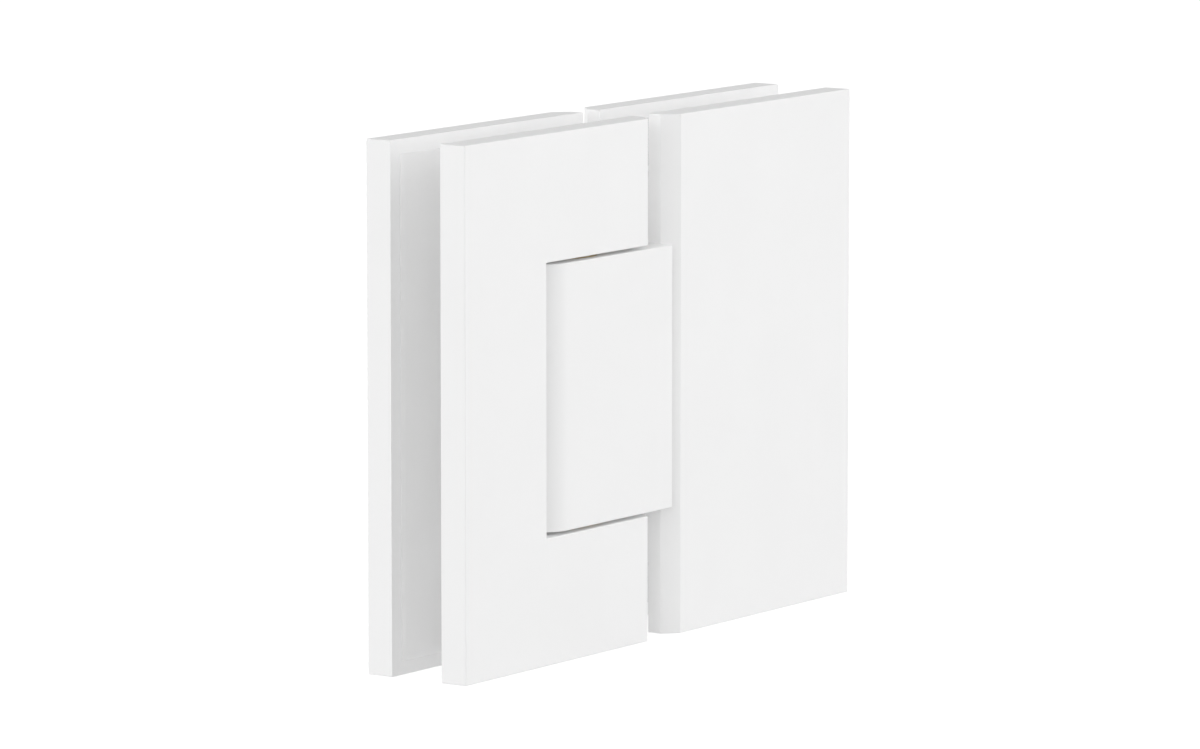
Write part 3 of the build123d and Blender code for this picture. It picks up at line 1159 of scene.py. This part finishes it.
@dataclass
class Studio:
    """A plain pale floor, soft light from all round and the camera."""

    floor_reach: float = 12.0
    floor_light: float = 0.63
    floor_glow: float = 0.86
    floor_shade: float = 0.30
    sky_level: float = 0.30
    softboxes: tuple[Softbox, ...] = (
        Softbox(azimuth=math.radians(-163), strength=2.5),
        Softbox(azimuth=math.radians(-35), strength=3.45),
        Softbox(azimuth=math.radians(102), strength=2.25),
    )
    light_bounces: int = 32
    clear_layers: int = 96
    aim: tuple[float, float, float] = (-4.935 * MM, -0.130 * MM, 0.389 * MM)
    distance: float = 1286.74 * MM
    yaw: float = math.radians(55.242)
    pitch: float = math.radians(7.792)
    lens: float = 225.306
    sensor: float = 36.0
    clip: tuple[float, float] = (0.05, 100.0)

    def lay_floor(self) -> None:
        """Lays the floor: white to the camera with a faint shadow, and evenly pale as it lights the hinge."""
        bpy.ops.object.select_all(action="DESELECT")
        bpy.ops.mesh.primitive_plane_add(size=self.floor_reach, location=(0, 0, cad_box[0].z))
        floor = Bench.settle(bpy.context.object)
        floor.name = "floor"
        surface = bpy.data.materials.new("pale_floor")
        surface.use_nodes = True
        recipe = Recipe(surface.node_tree)
        surface.node_tree.nodes.clear()
        plain = recipe.add("ShaderNodeEmission", Color=WHITE, Strength=self.floor_light)
        faint = recipe.add("ShaderNodeBsdfDiffuse", Color=(self.floor_shade,) * 3 + (1.0,))
        glow = recipe.add("ShaderNodeEmission", Color=WHITE, Strength=self.floor_glow)
        seen = recipe.wire(recipe.add("ShaderNodeAddShader"), faint.outputs[0], glow.outputs[0])
        path = recipe.add("ShaderNodeLightPath")
        direct = recipe.sum("MAXIMUM", path.outputs["Is Camera Ray"], path.outputs["Is Glossy Ray"])
        direct = recipe.sum("MAXIMUM", direct, path.outputs["Is Transmission Ray"])
        blend = recipe.wire(recipe.add("ShaderNodeMixShader"), direct, plain.outputs[0], seen.outputs[0])
        recipe.wire(recipe.add("ShaderNodeOutputMaterial"), blend.outputs[0])
        floor.data.materials.append(surface)

    def light_sky(self) -> None:
        """Lights the hinge from all round, with a few soft lights in an even sky."""
        world = bpy.data.worlds.new("studio")
        bpy.context.scene.world = world
        world.use_nodes = True
        recipe = Recipe(world.node_tree)
        world.node_tree.nodes.clear()
        way = recipe.add("ShaderNodeTexCoord").outputs["Generated"]
        strength: object = self.sky_level
        for softbox in self.softboxes:
            strength = recipe.sum("ADD", strength, softbox.shine(recipe, way))
        shine = recipe.add("ShaderNodeBackground", Color=WHITE, Strength=strength)
        recipe.wire(recipe.add("ShaderNodeOutputWorld"), shine.outputs[0])
        cycles = bpy.context.scene.cycles
        cycles.max_bounces = cycles.diffuse_bounces = self.light_bounces
        cycles.transparent_max_bounces = self.clear_layers

    def set_camera(self) -> None:
        """Sets the camera at the photograph's viewing angle."""
        ahead = Vector((
            math.sin(self.yaw) * math.cos(self.pitch),
            math.cos(self.yaw) * math.cos(self.pitch),
            -math.sin(self.pitch),
        ))
        data = bpy.data.cameras.new("camera")
        data.lens = self.lens
        data.sensor_width = self.sensor
        data.clip_start, data.clip_end = self.clip
        camera = bpy.data.objects.new("camera", data)
        bpy.context.scene.collection.objects.link(camera)
        camera.location = Vector(self.aim) - ahead * self.distance
        camera.rotation_mode = "QUATERNION"
        camera.rotation_quaternion = ahead.to_track_quat("-Z", "Y")
        bpy.context.scene.camera = camera
        bpy.context.scene.view_settings.view_transform = "Standard"

    def build(self) -> None:
        """Sets up the floor, the light and the camera."""
        self.lay_floor()
        self.light_sky()
        self.set_camera()


def main() -> None:
    """Builds and dresses every piece, then sets the studio."""
    logging.basicConfig(level=logging.INFO, format="%(name)s: %(message)s")
    CoatedPlates().dress()
    PivotBlock().build()
    clamp = Screw(
        ScrewKind.CLAMP, length=11.9 * MM, crest=2.45 * MM, pitch=0.8 * MM,
        key=3.0 * MM, key_depth=2.3 * MM,
    )
    pin_lock = Screw(
        ScrewKind.PIN_LOCK, length=6.0 * MM, crest=2.45 * MM, pitch=0.8 * MM,
        key=2.5 * MM, key_depth=2.4 * MM,
    )
    bush_lock = Screw(
        ScrewKind.BUSH_LOCK, length=3.0 * MM, crest=1.95 * MM, pitch=0.7 * MM,
        key=2.0 * MM, key_depth=1.3 * MM,
    )
    ScrewSet("door_clamp_screws", Leaf.DOOR, STAINLESS, clamp).build()
    ScrewSet("panel_clamp_screws", Leaf.PANEL, STAINLESS, clamp).build()
    ScrewSet("tongue_screws", Leaf.PANEL, STAINLESS, clamp).build()
    ScrewSet("pin_lock_screws", Leaf.DOOR, DARK_STEEL, pin_lock).build()
    ScrewSet("bush_lock_screws", Leaf.PANEL, DARK_STEEL, bush_lock).build()
    for side, body in (("door", Leaf.DOOR), ("panel", Leaf.PANEL)):
        for face in ("front", "back"):
            Gasket(f"{side}_{face}_gasket", body).build()
    HingePin().build()
    Bushes().build()
    DetentLeaves().build()
    ThrustWashers().build()
    Studio().build()


if __name__ == "__main__":
    main()
